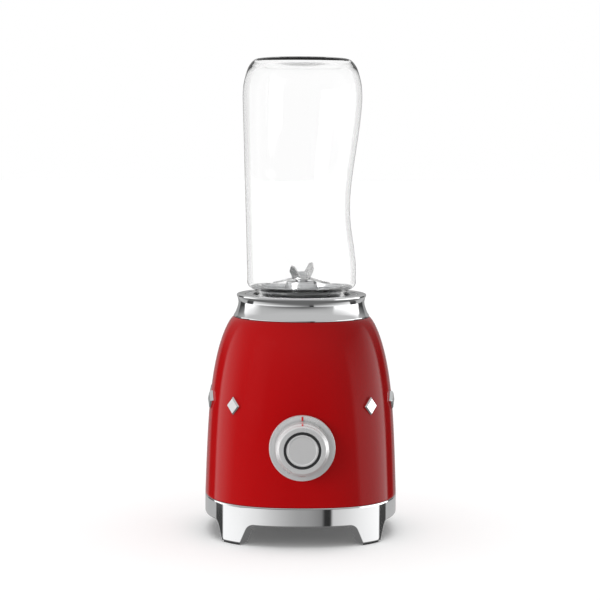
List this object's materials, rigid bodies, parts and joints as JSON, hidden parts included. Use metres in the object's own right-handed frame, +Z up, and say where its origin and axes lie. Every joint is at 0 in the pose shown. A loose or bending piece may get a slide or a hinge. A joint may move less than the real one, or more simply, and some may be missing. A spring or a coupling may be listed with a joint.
{
  "type": "countertop blender",
  "caption": "Personal countertop blender: domed motor base with a rotary dial, chrome collar and footed base ring, and an inverted clear bottle over a bladed screw-on unit.",
  "frame": {"origin": "on the drive axis, at the level that the foot pads stand on", "axes": "+Z up along the drive axis, the dial faces -Y, +X is the side with the bottle's grip waist"},
  "size_m": [0.1324, 0.1438, 0.3252],
  "materials": {
    "red_enamel": "gloss red enamel on die-cast aluminium",
    "chrome": "polished",
    "satin_chrome": "satin",
    "dark_plastic": "fine texture",
    "grey_plastic": "fine texture",
    "red_mark": "gloss",
    "light_guide": "smoked",
    "rubber": "matt",
    "seal_rubber": "matt silicone",
    "clear_bottle": "clear moulded plastic",
    "blade_steel": "ground",
    "dish_steel": "pressed",
    "plain_steel": "machined",
    "zinc_steel": "zinc plated",
    "lamination": "punched laminations",
    "copper_winding": "enamelled copper wire",
    "commutator_copper": "machined copper",
    "brass": "machined",
    "bronze": "sintered bronze",
    "carbon": "pressed carbon",
    "board_green": "solder mask",
    "motor_plastic": "moulded",
    "cast_bracket": "die cast"
  },
  "bodies": {
    "housing": {"body_shell": "red_enamel", "collar_ring": "chrome", "well_liner": "dark_plastic", "base_ring": "chrome", "foot_pads": "rubber", "bottom_cover": "dark_plastic", "bottom_screws": "zinc_steel", "collar_screws": "zinc_steel", "side_studs": "chrome", "cord_gland": "rubber", "dial_bezel": "satin_chrome", "bezel_mark": "red_mark", "rotary_switch": "motor_plastic", "control_board": "board_green", "stator_core": "lamination", "field_coils": "copper_winding", "upper_bearing": "plain_steel", "lower_bearing": "plain_steel", "upper_bracket": "cast_bracket", "lower_bracket": "cast_bracket", "motor_screws": "zinc_steel", "rubber_mounts": "rubber", "brush_holders": "brass", "carbon_brushes": "carbon", "brush_springs": "plain_steel", "switch_bracket": "zinc_steel", "microswitch": "motor_plastic", "plunger_spring": "plain_steel"},
    "rotor": {"armature_core": "lamination", "armature_winding": "copper_winding", "commutator": "commutator_copper", "motor_shaft": "plain_steel", "cooling_fan": "motor_plastic", "drive_coupler": "dark_plastic"},
    "lock": {"lock_ring": "grey_plastic"},
    "plunger": {"lock_plunger": "grey_plastic"},
    "blade_unit": {"blade_holder": "grey_plastic", "blade_dish": "dish_steel", "blade_bush": "bronze", "shaft_seal": "rubber"},
    "blades": {"driven_coupler": "grey_plastic", "blade_shaft": "plain_steel", "lower_blade": "blade_steel", "upper_blade": "blade_steel", "blade_washer": "plain_steel", "blade_nut": "plain_steel"},
    "seal": {"bottle_seal": "seal_rubber"},
    "bottle": {"bottle": "clear_bottle"},
    "knob": {"dial_knob": "satin_chrome", "knob_pointer": "red_mark", "light_ring": "light_guide", "dial_shaft": "plain_steel", "button_spring": "plain_steel"},
    "button": {"centre_button": "satin_chrome"}
  },
  "joints": [
    {"name": "motor_spin", "type": "hinge", "parent": "housing", "child": "rotor", "pos_m": [0, 0, 0.08], "axis": [0, 0, 1], "continuous": true},
    {"name": "lock_twist", "type": "hinge", "parent": "housing", "child": "lock", "pos_m": [0, 0, 0.14], "axis": [0, 0, 1], "range_deg": [0, 30]},
    {"name": "lock_plunger_travel", "type": "slide", "parent": "housing", "child": "plunger", "axis": [0, 0, 1], "range_m": [0, 0.003], "deforming": ["plunger_spring"]},
    {"name": "blade_unit_lift", "type": "slide", "parent": "lock", "child": "blade_unit", "axis": [0, 0, 1], "range_m": [0, 0.06]},
    {"name": "blade_spin", "type": "hinge", "parent": "blade_unit", "child": "blades", "pos_m": [0, 0, 0.16], "axis": [0, 0, 1], "continuous": true},
    {"name": "bottle_unscrew", "type": "hinge", "parent": "blade_unit", "child": "seal", "pos_m": [0, 0, 0.15], "axis": [0, 0, 1], "range_deg": [0, 450]},
    {"name": "bottle_rise", "type": "slide", "parent": "seal", "child": "bottle", "axis": [0, 0, 1], "range_m": [0, 0.005]},
    {"name": "knob_turn", "type": "hinge", "parent": "housing", "child": "knob", "pos_m": [0, -0.07, 0.067], "axis": [0, 1, 0], "range_deg": [-45, 90]},
    {"name": "button_press", "type": "slide", "parent": "knob", "child": "button", "axis": [0, 1, 0], "range_m": [0, 0.0015], "stiffness_N_per_m": 400, "springref_m": -0.001, "deforming": ["button_spring"]}
  ],
  "couplings": [
    {"joint": "blade_spin", "follows": "motor_spin", "ratio": 1},
    {"joint": "lock_plunger_travel", "follows": "lock_twist", "m_per_rad": 0.0057296},
    {"joint": "bottle_rise", "follows": "bottle_unscrew", "m_per_rad": 0.00063662}
  ]
}
